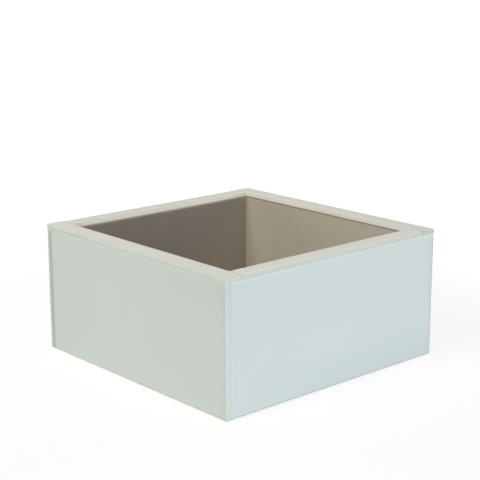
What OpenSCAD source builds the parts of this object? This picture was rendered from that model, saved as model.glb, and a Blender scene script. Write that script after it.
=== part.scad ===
// Low square floor planter: four wall boards round a batten frame, a flat rim and a drained inner tub.
// The planter stands on z = 0, with its middle on the Z axis and its front towards -Y.

/* [Overall] */
// Width over the rim, left to right
planter_w = 800; // [500:10:1200]
// Depth over the rim, front to back
planter_d = 800; // [500:10:1200]
// Height from the underside of the walls to the top of the rim
casing_h = 380; // [300:5:700]

/* [Wall boards] */
// Thickness of a wall board
wall_t = 18; // [15:1:25]
// Bevel along the upright and lower outer edges of a wall board
wall_bevel = 2; // [1:0.5:5]
// Height of the shallow bevel along the top edge of a wall board
top_bevel_h = 6; // [3:1:12]
// Depth of that bevel where it meets the rim
top_bevel_d = 0.8; // [0.2:0.2:0.8]

/* [Rim boards] */
// Thickness of a rim board
rim_t = 14; // [12:1:20]
// How far the rim stands out past the walls
rim_step = 0; // [0:0.5:8]
// How far the rim stands in over the opening of the tub
rim_lip = 1.5; // [0:0.5:10]
// Radius of the rounded outer top edge of the rim
rim_nose_r = 7; // [3:1:11]
// Small bevel along the inner edges of the rim
rim_arris = 1; // [0.5:0.5:2]

/* [Frame] */
// Side of the square battens that make posts, rails and bearers
batten = 24; // [20:1:45]
// Thickness of the base board
base_t = 18; // [12:1:25]
// Gap round the base board, to the walls and the posts
base_gap = 1; // [0.5:0.5:3]

/* [Tub] */
// Thickness of the tub's wall
tub_t = 2.5; // [1.5:0.5:4]
// Gap between the tub and the rails at its front and back
tub_gap = 0.5; // [0.5:0.5:3]
// Gap between the tub and the rails at its left and right
tub_side_gap = 6.5; // [0.5:0.5:15]
// Radius of the tub's upright inner corners
tub_corner_r = 3; // [2:1:20]

/* [Drain] */
// Bore of the drain
drain_bore_d = 30; // [20:1:40]
// Wall of the drain's tube
drain_wall = 2.5; // [2:0.5:4]
// How far the drain's flange stands out past its tube
drain_flange_w = 14; // [8:1:20]
// Thickness of the drain's flange
drain_flange_t = 3; // [2:0.5:5]
// Thickness of the gasket under the flange
drain_gasket_t = 2; // [1:0.5:3]
// Height of the nut under the base board
drain_nut_t = 9; // [6:1:12]
// How far the tube reaches below the nut
drain_tail = 6; // [2:1:8]
// Play round the tube where it passes through the tub and the base board
drain_play = 0.5; // [0.5:0.5:2]

/* [Plug] */
// How far the plug's cap reaches past the bore
plug_cap_w = 6; // [4:1:12]
// Thickness of the plug's cap
plug_cap_t = 4; // [3:0.5:8]
// Depth of the plug's stem in the bore
plug_stem_h = 14; // [10:1:16]
// Play between the stem and the bore
plug_play = 0.3; // [0.2:0.1:0.6]
// Height of the grip on the cap
plug_grip_h = 10; // [6:1:16]
// Thickness of the grip
plug_grip_t = 6; // [4:1:10]
// Thickness of the sealing ring's cord
seal_d = 2.4; // [1.6:0.2:3]
// Play between the sealing ring and the bore
seal_play = 0.15; // [0.1:0.05:0.2]

/* [Glides] */
// Diameter of a foot glide
glide_d = 24; // [18:1:24]
// Height of a foot glide
glide_h = 3; // [2.5:0.5:8]

/* [Fasteners] */
// Diameter of the wood screws
screw_d = 4; // [3:0.5:5]
// Diameter of a screw's head
screw_head_d = 8; // [7:0.5:10]
// Height of a screw's head
screw_head_h = 2.4; // [2:0.2:3]
// How deep a frame screw goes into a wall board
wall_bite = 12; // [8:1:13]
// How deep a rim screw goes into a rim board
rim_bite = 8; // [6:1:10]
// How deep a base screw goes into a rail or a bearer
base_bite = 16; // [10:1:20]
// How deep a glide screw goes into a post
glide_bite = 18; // [12:1:24]
// Diameter of the dowels in the corners of the walls
wall_dowel_d = 8; // [6:1:8]
// Depth of a wall dowel in the face of a board
wall_dowel_face = 12; // [8:1:13]
// Depth of a wall dowel in the end of a board
wall_dowel_end = 23; // [12:1:30]
// Diameter of the dowels in the rim
rim_dowel_d = 6; // [4:1:6]
// Depth of a rim dowel in each board
rim_dowel_bite = 15; // [8:1:18]

/* [Hidden] */
$fn = 48;

SIDES = ["front", "right", "back", "left"];
CORNERS = ["front_left", "front_right", "back_right", "back_left"];

// Numbers of fasteners, each row spread evenly over its piece
POST_SCREW_COUNT = 3;
RAIL_SCREW_COUNT = 4;
WALL_DOWEL_COUNT = 4;

// Small clearances in the timber: round a screw, round its head, past its tip
SCREW_PLAY = 0.1;
HEAD_PLAY = 0.5;
TIP_ROOM = 1;
DOWEL_PLAY = 0.1;
SEAT_PLAY = 0.1;
// The screws of neighbouring walls stand this far apart in height in their common post
POST_STAGGER = 20;
SCREW_TIP = 3;
SCREW_TIP_D = 0.8;
RECESS_W = 1;
RECESS_L = 4.4;
RECESS_H = 1.4;
DOWEL_BEVEL = 1;
// Cutting tools reach this far past the faces that they cut
OVER = 0.5;

// Heights, from the floor up
TOP = glide_h + casing_h;
RIM_Z = TOP - rim_t;
FLANGE_Z = RIM_Z - tub_t;
TOP_RAIL_Z = FLANGE_Z - batten;
BASE_Z = glide_h + batten;
TUB_Z = BASE_Z + base_t;
GASKET_Z = TUB_Z + tub_t;
DRAIN_FLANGE_Z = GASKET_Z + drain_gasket_t;
DRAIN_TOP = DRAIN_FLANGE_Z + drain_flange_t;
NUT_Z = BASE_Z - drain_nut_t;
wall_h = casing_h - rim_t;

// Plan sizes: over the walls, between the walls, between opposite rails, over the tub
OUT_W = planter_w - 2 * rim_step;
OUT_D = planter_d - 2 * rim_step;
IN_W = OUT_W - 2 * wall_t;
IN_D = OUT_D - 2 * wall_t;
BAY_W = IN_W - 2 * batten;
BAY_D = IN_D - 2 * batten;
TUB_W = BAY_W - 2 * tub_side_gap;
TUB_D = BAY_D - 2 * tub_gap;

// Length between the walls along each side, and its distance out from the middle
SPAN = [IN_W, IN_D, IN_W, IN_D];
REACH = [OUT_D / 2, OUT_W / 2, OUT_D / 2, OUT_W / 2];

// Width and length of the rim board along each side
RIM_W = [
    for (gap = [tub_gap, tub_side_gap, tub_gap, tub_side_gap])
        rim_step + wall_t + batten + gap + tub_t + rim_lip
];
RIM_LENGTH = [planter_w - RIM_W[1] - RIM_W[3], planter_d, planter_w - RIM_W[1] - RIM_W[3], planter_d];

head_seat = screw_head_h + HEAD_PLAY;
bore_r = drain_bore_d / 2;
tube_r = bore_r + drain_wall;
drain_flange_r = tube_r + drain_flange_w;
seal_r = bore_r - seal_play - seal_d / 2;
groove_r = seal_r - seal_d / 2 - SEAT_PLAY;
stem_r = bore_r - plug_play;
bearer_x = BAY_W / 6;
base_screw_len = base_t - head_seat + base_bite;
post_screw_len = batten + wall_bite;
rail_screw_len = batten - head_seat + wall_bite;
rim_screw_len = batten + tub_t + rim_bite;
glide_head_z = glide_h / 6;
glide_head_h = glide_h / 2;

WALL_COLOUR = [0.79, 0.84, 0.82];
RIM_COLOUR = [0.86, 0.84, 0.79];
TUB_COLOUR = [0.53, 0.49, 0.44];
TIMBER_COLOUR = [0.80, 0.68, 0.50];
PLY_COLOUR = [0.72, 0.60, 0.44];
DOWEL_COLOUR = [0.84, 0.71, 0.54];
STEEL_COLOUR = [0.74, 0.74, 0.71];
PLASTIC_COLOUR = [0.22, 0.22, 0.23];
RUBBER_COLOUR = [0.10, 0.10, 0.10];

// Middles of n equal stretches of a length that is centred on 0
function middles(n, length) = [for (i = [0:n - 1]) (i + 0.5) * length / n - length / 2];
// Ends between those stretches
function between(n, length) = [for (i = [1:n - 1]) i * length / n - length / 2];
// Length of a rail on side k, and the heights of the screws from its posts into its wall
function rail_len(k) = SPAN[k] - 2 * batten;
function post_screw_z(k) = [
    for (z = middles(POST_SCREW_COUNT, TOP_RAIL_Z - TUB_Z))
        (TOP_RAIL_Z + TUB_Z) / 2 + z + (k % 2 == 0 ? -0.5 : 0.5) * POST_STAGGER
];
function previous(k) = (k + 3) % 4;
function next(k) = (k + 1) % 4;

// Frame of side k, seen from outside: x to the right from its middle, y inwards from the wall's face
module on_side(k) {
    rotate([0, 0, 90 * k]) translate([0, -REACH[k], 0]) children();
}

// A bar along x, centred on y = z = 0, that cuts a bevel b wide from an edge there
module edge_cut(length, b) {
    translate([length / 2, 0, 0]) rotate([45, 0, 0])
        cube([length + 2 * OVER, b * sqrt(2), b * sqrt(2)], center = true);
}

// A wedge along x that cuts the shallow bevel from the face y = 0 under the height z = 0
module top_edge_cut(length) {
    translate([-OVER, 0, 0]) rotate([90, 0, 90]) linear_extrude(length + 2 * OVER) polygon([
        [-OVER, OVER], [-OVER, -top_bevel_h], [0, -top_bevel_h], [top_bevel_d, 0], [top_bevel_d, OVER]
    ]);
}

// A wood screw driven along +z, with the underside of its head at z = 0
module screw(length) {
    difference() {
        rotate_extrude() polygon([
            [0, -screw_head_h], [screw_head_d / 2, -screw_head_h], [screw_head_d / 2, 0], [screw_d / 2, 0],
            [screw_d / 2, length - SCREW_TIP], [SCREW_TIP_D / 2, length], [0, length]
        ]);
        for (turn = [0, 90])
            rotate([0, 0, turn])
                translate([-RECESS_L / 2, -RECESS_W / 2, -screw_head_h - OVER])
                    cube([RECESS_L, RECESS_W, RECESS_H + OVER]);
    }
}

// The hole for such a screw, with a sunk seat for its head where sink is true
module screw_hole(length, sink = false) {
    translate([0, 0, -OVER]) cylinder(h = length + TIP_ROOM + OVER, d = screw_d + 2 * SCREW_PLAY);
    if (sink)
        translate([0, 0, -head_seat - OVER])
            cylinder(h = head_seat + OVER, d = screw_head_d + 2 * HEAD_PLAY);
}

// A dowel along +z from z = 0, with bevelled ends
module dowel(length, d) {
    rotate_extrude() polygon([
        [0, 0], [d / 2 - DOWEL_BEVEL, 0], [d / 2, DOWEL_BEVEL],
        [d / 2, length - DOWEL_BEVEL], [d / 2 - DOWEL_BEVEL, length], [0, length]
    ]);
}

module dowel_hole(length, d) {
    translate([0, 0, -TIP_ROOM]) cylinder(h = length + 2 * TIP_ROOM, d = d + 2 * DOWEL_PLAY);
}

// Where the fasteners sit: each module puts its children at every seat, driven along +z

// From the two posts of side k into its wall
module post_screw_seats(k) {
    on_side(k)
        for (x = [-1, 1] * (SPAN[k] - batten) / 2, z = post_screw_z(k))
            translate([x, wall_t + batten, z]) rotate([90, 0, 0]) children();
}

// From a rail of side k at height z into its wall, with sunk heads
module rail_screw_seats(k, z) {
    on_side(k)
        for (x = between(RAIL_SCREW_COUNT, rail_len(k)))
            translate([x, wall_t + batten - head_seat, z + batten / 2]) rotate([90, 0, 0]) children();
}

// From below the top rail of side k up into its rim board
module rim_screw_seats(k) {
    on_side(k)
        for (x = middles(RAIL_SCREW_COUNT, rail_len(k)))
            translate([x, wall_t + batten / 2, TOP_RAIL_Z]) children();
}

// From above the base board into the bottom rail of side k, with sunk heads
module base_screw_seats(k) {
    on_side(k)
        for (x = middles(RAIL_SCREW_COUNT, rail_len(k)))
            translate([x, wall_t + batten / 2, TUB_Z - head_seat]) rotate([180, 0, 0]) children();
}

// From above the base board into the bearer at x, with sunk heads
module bearer_screw_seats(x) {
    for (y = middles(RAIL_SCREW_COUNT, BAY_D))
        translate([x, y, TUB_Z - head_seat]) rotate([180, 0, 0]) children();
}

// Under the post at the left end of side k
module glide_seat(k) {
    on_side(k) translate([-(SPAN[k] - batten) / 2, wall_t + batten / 2, 0]) children();
}

// Across the joint at the left end of side k: the end of its wall meets the face of the wall before it
module wall_dowel_seats(k) {
    on_side(k)
        for (z = middles(WALL_DOWEL_COUNT, wall_h))
            translate([-SPAN[k] / 2 - wall_dowel_face, wall_t / 2, glide_h + wall_h / 2 + z])
                rotate([0, 90, 0]) children();
}

// Across both ends of the short rim board of side k
module rim_dowel_seats(k) {
    on_side(k)
        for (x = [-1, 1] * RIM_LENGTH[k] / 2, y = middles(2, RIM_W[k]))
            translate([x - rim_dowel_bite, -rim_step + RIM_W[k] / 2 + y, RIM_Z + rim_t / 2])
                rotate([0, 90, 0]) children();
}

// Wall board of side k: its left end butts on the wall before it, its right end covers the next one
module wall(k) {
    length = SPAN[k] + wall_t;
    color(WALL_COLOUR) difference() {
        on_side(k) translate([-SPAN[k] / 2, 0, glide_h]) difference() {
            cube([length, wall_t, wall_h]);
            edge_cut(length, wall_bevel);
            translate([length, 0, 0]) rotate([0, 0, 90]) edge_cut(wall_t, wall_bevel);
            for (x = [0, length]) translate([x, 0, 0]) rotate([0, -90, 0]) edge_cut(wall_h, wall_bevel);
            translate([0, 0, wall_h]) top_edge_cut(length);
            translate([length, 0, wall_h]) rotate([0, 0, 90]) top_edge_cut(wall_t);
        }
        post_screw_seats(k) screw_hole(post_screw_len);
        rail_screw_seats(k, TOP_RAIL_Z) screw_hole(rail_screw_len);
        rail_screw_seats(k, glide_h) screw_hole(rail_screw_len);
        wall_dowel_seats(k) dowel_hole(wall_dowel_face + wall_dowel_end, wall_dowel_d);
        wall_dowel_seats(next(k)) dowel_hole(wall_dowel_face + wall_dowel_end, wall_dowel_d);
    }
}

// Section of a rim board w wide: x inwards from its outer face, y up, with a rounded outer top edge
module rim_section(w) {
    square([w, rim_t - rim_nose_r]);
    translate([rim_nose_r, 0]) square([w - rim_nose_r, rim_t]);
    intersection() {
        translate([rim_nose_r, rim_t - rim_nose_r]) circle(r = rim_nose_r);
        square([rim_nose_r, rim_t]);
    }
}

// Rim board of side k: long on the left and right, short between them at the front and back
module rim(k) {
    length = RIM_LENGTH[k];
    color(RIM_COLOUR) difference() {
        on_side(k) translate([-length / 2, -rim_step, RIM_Z]) difference() {
            rotate([90, 0, 90]) linear_extrude(length) rim_section(RIM_W[k]);
            translate([0, RIM_W[k], rim_t]) edge_cut(length, rim_arris);
        }
        rim_screw_seats(k) screw_hole(rim_screw_len);
        for (side = k % 2 == 0 ? [k] : [0, 2])
            rim_dowel_seats(side) dowel_hole(2 * rim_dowel_bite, rim_dowel_d);
    }
}

// Post at the left end of side k
module corner_post(k) {
    color(TIMBER_COLOUR) difference() {
        on_side(k) translate([-SPAN[k] / 2, wall_t, glide_h])
            cube([batten, batten, FLANGE_Z - glide_h]);
        post_screw_seats(k) screw_hole(post_screw_len);
        post_screw_seats(previous(k)) screw_hole(post_screw_len);
        glide_seat(k) translate([0, 0, glide_h]) screw_hole(glide_bite);
    }
}

// A batten between two posts of side k, with its underside at height z
module rail(k, z) {
    on_side(k) translate([-rail_len(k) / 2, wall_t, z]) cube([rail_len(k), batten, batten]);
}

module top_rail(k) {
    color(TIMBER_COLOUR) difference() {
        rail(k, TOP_RAIL_Z);
        rail_screw_seats(k, TOP_RAIL_Z) screw_hole(rail_screw_len, sink = true);
        rim_screw_seats(k) screw_hole(rim_screw_len);
    }
}

module bottom_rail(k) {
    color(TIMBER_COLOUR) difference() {
        rail(k, glide_h);
        rail_screw_seats(k, glide_h) screw_hole(rail_screw_len, sink = true);
        base_screw_seats(k) screw_hole(base_screw_len);
    }
}

// Bearer under the base board at x, between the front and back bottom rails
module base_bearer(x) {
    color(TIMBER_COLOUR) difference() {
        translate([x - batten / 2, -BAY_D / 2, glide_h]) cube([batten, BAY_D, batten]);
        bearer_screw_seats(x) screw_hole(base_screw_len);
    }
}

module base_board() {
    notch = batten + base_gap;
    color(PLY_COLOUR) difference() {
        translate([-IN_W / 2 + base_gap, -IN_D / 2 + base_gap, BASE_Z])
            cube([IN_W - 2 * base_gap, IN_D - 2 * base_gap, base_t]);
        for (x = [-1, 1], y = [-1, 1])
            translate([x * IN_W / 2, y * IN_D / 2, BASE_Z + base_t / 2])
                cube([2 * notch, 2 * notch, base_t + 2 * OVER], center = true);
        for (k = [0:3]) base_screw_seats(k) screw_hole(base_screw_len, sink = true);
        for (x = [-1, 1] * bearer_x) bearer_screw_seats(x) screw_hole(base_screw_len, sink = true);
        translate([0, 0, BASE_Z - OVER]) cylinder(h = base_t + 2 * OVER, r = tube_r + drain_play);
    }
}

// A block of w by d with upright corners of radius r, standing on z = 0
module rounded_block(w, d, h, r) {
    linear_extrude(h) union() {
        square([w - 2 * r, d], center = true);
        square([w, d - 2 * r], center = true);
        for (x = [-1, 1], y = [-1, 1])
            translate([x * (w / 2 - r), y * (d / 2 - r)]) circle(r = r);
    }
}

// Tub with a flange that lies on the posts and top rails, under the rim
module tub() {
    flange_play = 2 * tub_gap;
    color(TUB_COLOUR) difference() {
        union() {
            translate([0, 0, TUB_Z]) rounded_block(TUB_W, TUB_D, RIM_Z - TUB_Z, tub_corner_r + tub_t);
            translate([-(IN_W - flange_play) / 2, -(IN_D - flange_play) / 2, FLANGE_Z])
                cube([IN_W - flange_play, IN_D - flange_play, tub_t]);
        }
        translate([0, 0, GASKET_Z])
            rounded_block(TUB_W - 2 * tub_t, TUB_D - 2 * tub_t, RIM_Z - GASKET_Z + OVER, tub_corner_r);
        for (k = [0:3]) rim_screw_seats(k) screw_hole(rim_screw_len);
        translate([0, 0, TUB_Z - OVER]) cylinder(h = tub_t + 2 * OVER, r = tube_r + drain_play);
    }
}

// Flanged tube through the tub and the base board
module drain_body() {
    tube_z = NUT_Z - drain_tail;
    color(PLASTIC_COLOUR) difference() {
        union() {
            translate([0, 0, DRAIN_FLANGE_Z]) cylinder(h = drain_flange_t, r = drain_flange_r);
            translate([0, 0, tube_z]) cylinder(h = DRAIN_FLANGE_Z - tube_z, r = tube_r);
        }
        translate([0, 0, tube_z - OVER]) cylinder(h = DRAIN_TOP - tube_z + 2 * OVER, r = bore_r);
    }
}

module drain_gasket() {
    color(RUBBER_COLOUR) translate([0, 0, GASKET_Z]) difference() {
        cylinder(h = drain_gasket_t, r = drain_flange_r);
        translate([0, 0, -OVER]) cylinder(h = drain_gasket_t + 2 * OVER, r = tube_r + SEAT_PLAY);
    }
}

// Hexagonal nut with a round collar that bears on the base board
module drain_nut() {
    collar_h = drain_nut_t / 4;
    collar_r = tube_r + 2 * drain_wall + drain_flange_w / 2;
    color(PLASTIC_COLOUR) translate([0, 0, NUT_Z]) difference() {
        union() {
            cylinder(h = drain_nut_t, r = collar_r - drain_wall, $fn = 6);
            translate([0, 0, drain_nut_t - collar_h]) cylinder(h = collar_h, r = collar_r);
        }
        translate([0, 0, -OVER]) cylinder(h = drain_nut_t + 2 * OVER, r = tube_r + SEAT_PLAY);
    }
}

// Plug that lifts out of the drain: stem with a groove, cap and grip
module drain_plug() {
    groove_h = seal_d + 2 * SEAT_PLAY;
    cap_r = bore_r + plug_cap_w;
    grip_l = 2 * cap_r - plug_cap_w - plug_grip_t;
    color(PLASTIC_COLOUR) translate([0, 0, DRAIN_TOP]) {
        difference() {
            translate([0, 0, -plug_stem_h]) cylinder(h = plug_stem_h, r = stem_r);
            translate([0, 0, -(plug_stem_h + groove_h) / 2]) difference() {
                cylinder(h = groove_h, r = bore_r);
                translate([0, 0, -OVER]) cylinder(h = groove_h + 2 * OVER, r = groove_r);
            }
        }
        cylinder(h = plug_cap_t, r = cap_r);
        translate([-grip_l / 2, -plug_grip_t / 2, plug_cap_t]) cube([grip_l, plug_grip_t, plug_grip_h]);
        for (x = [-1, 1] * grip_l / 2)
            translate([x, 0, plug_cap_t]) cylinder(h = plug_grip_h, d = plug_grip_t);
    }
}

// Sealing ring in the plug's groove
module plug_seal() {
    color(RUBBER_COLOUR) translate([0, 0, DRAIN_TOP - plug_stem_h / 2])
        rotate_extrude() translate([seal_r, 0]) circle(d = seal_d);
}

// Round glide under a post, with a hollow cone for its screw's head
module foot_glide(k) {
    mouth_r = screw_head_d / 2 + SEAT_PLAY;
    hole_r = screw_d / 2 + SEAT_PLAY;
    color(PLASTIC_COLOUR) glide_seat(k) rotate_extrude() polygon([
        [mouth_r, 0], [glide_d / 2, 0], [glide_d / 2, glide_h],
        [hole_r, glide_h], [hole_r, glide_head_z + glide_head_h], [mouth_r, glide_head_z]
    ]);
}

module wall_dowels() {
    color(DOWEL_COLOUR)
        for (k = [0:3]) wall_dowel_seats(k) dowel(wall_dowel_face + wall_dowel_end, wall_dowel_d);
}

module rim_dowels() {
    color(DOWEL_COLOUR)
        for (k = [0, 2]) rim_dowel_seats(k) dowel(2 * rim_dowel_bite, rim_dowel_d);
}

module post_screws() {
    color(STEEL_COLOUR) for (k = [0:3]) post_screw_seats(k) screw(post_screw_len);
}

module rail_screws() {
    color(STEEL_COLOUR)
        for (k = [0:3], z = [glide_h, TOP_RAIL_Z]) rail_screw_seats(k, z) screw(rail_screw_len);
}

module rim_screws() {
    color(STEEL_COLOUR) for (k = [0:3]) rim_screw_seats(k) screw(rim_screw_len);
}

module base_screws() {
    color(STEEL_COLOUR) {
        for (k = [0:3]) base_screw_seats(k) screw(base_screw_len);
        for (x = [-1, 1] * bearer_x) bearer_screw_seats(x) screw(base_screw_len);
    }
}

// Screws with a flat cone for a head, one up through each glide
module glide_screws() {
    tip_z = glide_h + glide_bite;
    color(STEEL_COLOUR) for (k = [0:3]) glide_seat(k) difference() {
        rotate_extrude() polygon([
            [0, glide_head_z], [screw_head_d / 2, glide_head_z], [screw_d / 2, glide_head_z + glide_head_h],
            [screw_d / 2, tip_z - SCREW_TIP], [SCREW_TIP_D / 2, tip_z], [0, tip_z]
        ]);
        for (turn = [0, 90])
            rotate([0, 0, turn])
                translate([-RECESS_L / 2, -RECESS_W / 2, 0])
                    cube([RECESS_L, RECESS_W, glide_head_z + RECESS_H / 2]);
    }
}

for (k = [0:3]) {
    wall(k);
    rim(k);
    corner_post(k);
    top_rail(k);
    bottom_rail(k);
    foot_glide(k);
}
base_bearer(-bearer_x);  // base_bearer_left
base_bearer(bearer_x);  // base_bearer_right
base_board();
tub();
drain_body();
drain_gasket();
drain_nut();
drain_plug();
plug_seal();
wall_dowels();
rim_dowels();
post_screws();
rail_screws();
rim_screws();
base_screws();
glide_screws();
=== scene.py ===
"""Low square floor planter: its detailed pieces and finishes, with a floor, lamps and the photo's camera."""

import math

import bmesh
import bpy
from mathutils import Matrix, Quaternion, Vector


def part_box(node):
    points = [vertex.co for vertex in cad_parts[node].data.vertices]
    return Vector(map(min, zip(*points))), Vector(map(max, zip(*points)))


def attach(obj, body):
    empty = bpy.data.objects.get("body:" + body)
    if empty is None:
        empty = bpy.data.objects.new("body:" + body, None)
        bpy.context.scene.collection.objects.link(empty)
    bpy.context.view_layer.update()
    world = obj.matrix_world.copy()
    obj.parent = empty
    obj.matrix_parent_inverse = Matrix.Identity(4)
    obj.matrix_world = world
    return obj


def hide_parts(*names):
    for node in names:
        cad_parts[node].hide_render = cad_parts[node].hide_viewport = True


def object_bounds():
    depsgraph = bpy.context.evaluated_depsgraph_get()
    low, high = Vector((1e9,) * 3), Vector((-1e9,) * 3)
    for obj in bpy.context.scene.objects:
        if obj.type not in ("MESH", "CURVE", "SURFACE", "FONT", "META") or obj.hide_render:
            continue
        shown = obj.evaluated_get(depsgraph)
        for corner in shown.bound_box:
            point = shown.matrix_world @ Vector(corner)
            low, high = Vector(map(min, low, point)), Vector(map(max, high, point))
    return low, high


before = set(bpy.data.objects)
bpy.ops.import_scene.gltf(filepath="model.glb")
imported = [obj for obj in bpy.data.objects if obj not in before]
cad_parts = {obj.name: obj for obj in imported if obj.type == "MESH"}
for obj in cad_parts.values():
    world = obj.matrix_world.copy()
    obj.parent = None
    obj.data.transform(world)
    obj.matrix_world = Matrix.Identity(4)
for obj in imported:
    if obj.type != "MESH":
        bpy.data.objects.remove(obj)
cad_lo, cad_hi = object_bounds()

SIDES = ("front", "right", "back", "left")
BUTTED = ("front", "back")
CORNERS = ("front_left", "front_right", "back_right", "back_left")

# Camera of the photograph: its place, the point at the middle of its picture, its lens and its roll
EYE = Vector((-2.3568, -2.6472, 1.2185))
AIM = Vector((0.0238, 0.0221, 0.3330))
SENSOR = 36.0
LENS = 93.646
ROLL = math.radians(-0.059)

# Edges of the boards, in metres, and the steps of their rounding
WALL_BEVEL = 0.002
TOP_BEVEL_HEIGHT = 0.006
TOP_BEVEL_DEPTH = 0.0008
RIM_NOSE = 0.007
RIM_ARRIS = 0.001
JOINT_EASE = 0.0012
SOFTENING = 0.0005
NOSE_STEPS = 10
JOINT_STEPS = 3
SOFT_STEPS = 2

# Edges that are rounded and edges that stay crisp in the shading, by the angle between their faces
ROUNDED_ANGLE = math.radians(30)
SHARP_ANGLE = math.radians(35)

# Faces that count as flat, and as turned to one side, by one axis of their normal
FLAT = 0.999
TILTED = 0.3

# Points closer than this count as one, in metres
SAME = 1e-6

# Inner tub, in metres, and the columns and steps of its mesh
TUB_GAP = 0.0005
TUB_SIDE_GAP = 0.0065
TUB_WALL = 0.0025
TUB_CORNER = 0.003
TUB_FILLET = 0.004
TUB_LIP = 0.0008
SUMP_RADIUS = 0.075
SUMP_DEPTH = 0.0008
SUMP_SLOPE = 0.004
SIDE_COLUMNS = 12
CORNER_COLUMNS = 6
FILLET_STEPS = 4

# Drain, plug and glides, in metres, and the steps of the round parts
DRAIN_HOLE = 0.018
TUBE_RADIUS = 0.0175
BORE_RADIUS = 0.015
THREAD_PITCH = 0.002
THREAD_DEPTH = 0.0006
STEM_PLAY = 0.0003
SEAL_ROOM = 0.0001
SEAL_STEPS = 24
CAP_HEIGHT = 0.004
CAP_EDGE = 0.002
CAP_DISH = 0.0008
GRIP_LENGTH = 0.036
GRIP_WIDTH = 0.006
GRIP_WAIST = 0.0009
GRIP_ROUND = 0.0014
GRIP_STEPS = 12
GRIP_ROUND_STEPS = 4
GLIDE_MOUTH = 0.0041
GLIDE_HOLE = 0.0021

# Turned pieces: steps round the axis, radius and steps of their eased corners, and the largest share of a
# side that one corner may take
TURNS = 96
EASE = 0.0006
EASE_STEPS = 3
EASE_LIMIT = 0.45

# How strongly the bare end of each wall board shows through its lacquer, and the share above which it counts
# as bare
END_SHARES = {"front": 1.0, "right": 0.7, "back": 1.0, "left": 0.06}
BARE = 0.5

# How much painted shade each wall board has low down towards its right end, how much painted shade darkens
# its left end and top, and how strongly its edges and a line under the rim carry a painted highlight, which
# also scales a painted shade at its right tip
LOW_SHADE = {"front": 1.0, "right": 0.5, "back": 0.5, "left": 0.0}
END_AND_TOP_SHADE = {"front": 0.0, "right": 0.5, "back": 0.5, "left": 1.0}
EDGE_LIGHT_AND_TIP_SHADE = {"front": 1.0, "right": 0.6, "back": 0.6, "left": 0.35}

# Painted light and shade on each rim board: a tone for the board, one for its right end, and how much painted
# light grows along the board towards that end
RIM_LIGHT_TONES = {"front": 1.04, "right": 0.965, "back": 0.94, "left": 1.0}
CUT_LIGHT_TONES = {"front": 1.04, "right": 0.965, "back": 0.94, "left": 1.10}
PAINTED_LIGHT_ALONG = {"front": 0.0, "right": 0.0, "back": 0.0, "left": 1.0}

# Reach of the paint effects on a wall board, in metres: full up to the first distance, gone at the second
RIGHT_END_SHADE = (0.0, 0.036)
TIP_SHADE_END = (0.005, 0.008)
LEFT_END_SHADE = (0.0, 0.25)
JOINT_SHADE = (0.0015, 0.003)
FOOT_SOIL_AND_SHADE_REACH = (0.0025, 0.004)
LOW_SHADE_HEIGHT = (0.055, 0.11)
TOP_SHADE = (0.05, 0.12)
HIGHLIGHT_LINE = (0.0065, 0.0085)
RIM_SHADE = (0.0012, 0.0024)

# Painted shade low on a wall board: its share at the left end, and how far along the right half it is full
LOW_SHADE_LEAST = 0.1
LOW_SHADE_FULL = 0.6

# Faces with a larger end share than this are the bare end, which the painted shade near the right end and at
# the right tip leave out
OFF_END = 0.05

# Strength of the effects on a wall board, as shares of another colour or as factors of the tone
FOOT_SOIL_AND_SHADE_SHARE = 0.35
TOP_SHADE_SHARE = 0.6
LOW_SHADE_SHARE = 0.35
SHADED_TONE = 0.95
TIP_SHADE_TONE = 0.88
FOOT_PAINTED_LIGHT = 1.01
TOP_PAINTED_SHADE = 0.98

# Places along a rim board, by its X axis in metres: where the paler painted light at the end of the inner
# side runs out, where painted light grows along the board, how fast the dark of a joint comes in, and a place
# past the end of a board without it
PALE_STRETCH = (-0.30, -0.05)
PAINTED_LIGHT_STRETCH = (-0.4, 0.4)
JOINT_BLEND = 0.001
NO_JOINT = 1.0

# Change of tone over the stretch of painted light along the board, its share away from the outer side, and
# the share of a joint's dark away from its top
PAINTED_LIGHT_CHANGE = (-0.035, 0.085)
PAINTED_LIGHT_LEAST = 0.4
JOINT_LEAST = 0.4

# Places on the tub by its own axes, in metres from its middle: how high the earth and painted shade reach,
# the side walls, the painted shade under the rim, and the stretch of painted light by the back corner
DIRT_AND_SHADE_HEIGHTS = (-0.155, 0.06)
SIDE_WALLS = (0.345, 0.347)
SHADE_HEIGHTS = (0.1565, 0.158)
LIT_CORNER_STRETCH = (0.22, 0.345)

# Strength of what is painted there, as shares of another colour or as a factor of the tone
DIRT_AND_SHADE_SHARES = (0.05, 0.55)
SHADE_SHARE = 0.9
CORNER_LIGHT_TONE = 1.11

# Where most values of a noise pattern lie, the values over which single patterns change a colour, and how
# much dust and bloom show at most
NOISE_SPAN = (0.3, 0.7)
SPECK_SPAN = (0.2, 0.8)
WARM_SPAN = (0.42, 0.64)
DIRT_SPAN = (0.35, 0.75)
FIBRE_SPAN = (0.25, 0.75)
RING_SPAN = (0.35, 1.0)
ZINC_SPAN = (0.35, 0.65)
DUST_SPAN = (0.45, 0.8)
BLOOM_SPAN = (0.4, 0.8)
DUST_SHARE = 0.4
BLOOM_SHARE = 0.5

# How far apart the patterns of two pieces may lie
PATTERN_SHIFT = (0.31, 0.57, 0.73)

# Timber: share of their change that rings keep along the grain, scale of the fibres along and across it,
# gaps between rings in metres, and the radians that the wave pattern turns through in a metre at scale 1
RINGS_ALONG = 0.06
FIBRES = (9.0, 420.0)
PINE_RING_GAP = 0.004
BEECH_RING_GAP = 0.001
WAVE_RADIANS = 20

# Plywood: height of a dark and a light ply together in metres, how sharply the two part, and how level a
# face has to lie to show its grain instead of its plies
PLY_PAIR = 0.004
PLY_BLEND = (-0.3, 0.3)
EDGE_SPAN = (0.2, 0.6)

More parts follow.
